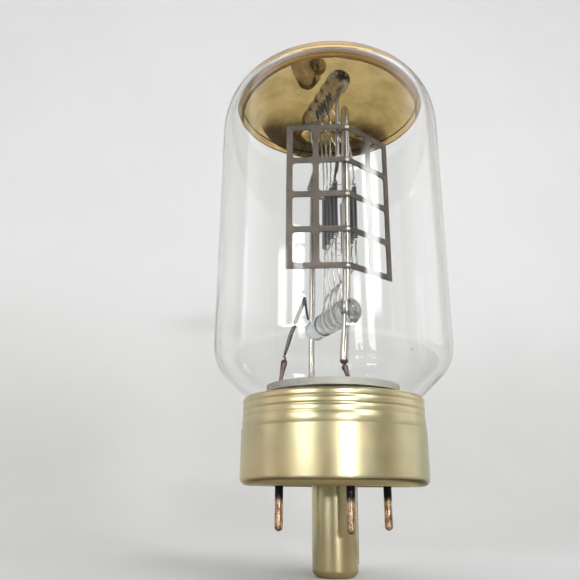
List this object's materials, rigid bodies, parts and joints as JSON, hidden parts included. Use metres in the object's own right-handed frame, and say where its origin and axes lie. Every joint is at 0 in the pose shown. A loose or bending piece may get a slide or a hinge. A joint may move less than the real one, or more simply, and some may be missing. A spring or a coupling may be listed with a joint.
{
  "type": "projection lamp",
  "caption": "Clear tubular projection lamp with a gold mirrored end, coiled filament and collector grid, on a keyed metal base with contact pins.",
  "frame": {"origin": "where the lamp's axis meets the seating face of the base, at the centre of the contact pin circle", "axes": "+Z along the lamp axis towards the mirrored end; +X and +Y each pass over a contact pin; the folded edge of the collector grid faces -Y"},
  "size_m": [0.0382, 0.038, 0.0854],
  "materials": {
    "clear_glass": "clear polished soda glass",
    "gold_mirror": "gold-toned evaporated mirror film",
    "stem_glass": "pressed glass, slightly cloudy",
    "heat_disc": "translucent white, unglazed",
    "base_metal": "satin anodised, pale champagne gold",
    "collar_metal": "bright anodised, pale champagne gold, rolled ridges",
    "cement": "matt basing cement",
    "phenolic": "brown moulded phenolic",
    "post_metal": "satin anodised, pale champagne gold",
    "pin_copper": "worn copper plate, blue-black near the base",
    "lead_copper": "dull copper-clad wire",
    "rod_metal": "drawn nickel-iron rod",
    "wire_metal": "drawn molybdenum wire",
    "dark_wire": "heat-darkened wire",
    "bridge_glass": "clear glass rod with fused wires",
    "hook_metal": "tungsten hook wire",
    "tungsten": "dark coiled tungsten wire",
    "grid_metal": "matt nickel sheet"
  },
  "bodies": {
    "root": {"glass_envelope": "clear_glass", "end_mirror": "gold_mirror", "button_stem": "stem_glass", "exhaust_tube": "stem_glass", "heat_disc": "heat_disc", "base_shell": "base_metal", "base_collar": "collar_metal", "basing_cement": "cement", "base_insulator": "phenolic", "guide_post": "post_metal", "contact_pin_front": "pin_copper", "contact_pin_right": "pin_copper", "contact_pin_back": "pin_copper", "contact_pin_left": "pin_copper", "lead_in_front": "lead_copper", "lead_in_back": "lead_copper", "lead_in_left": "lead_copper", "front_rod": "rod_metal", "back_rod": "rod_metal", "front_wire": "wire_metal", "back_wire": "wire_metal", "left_lead": "dark_wire", "left_wire": "dark_wire", "upper_bridge": "bridge_glass", "lower_bridge": "bridge_glass", "upper_hooks": "hook_metal", "lower_hooks": "hook_metal", "filament": "tungsten", "filament_ends": "tungsten", "back_spring": "wire_metal", "collector_grid": "grid_metal"}
  },
  "joints": []
}
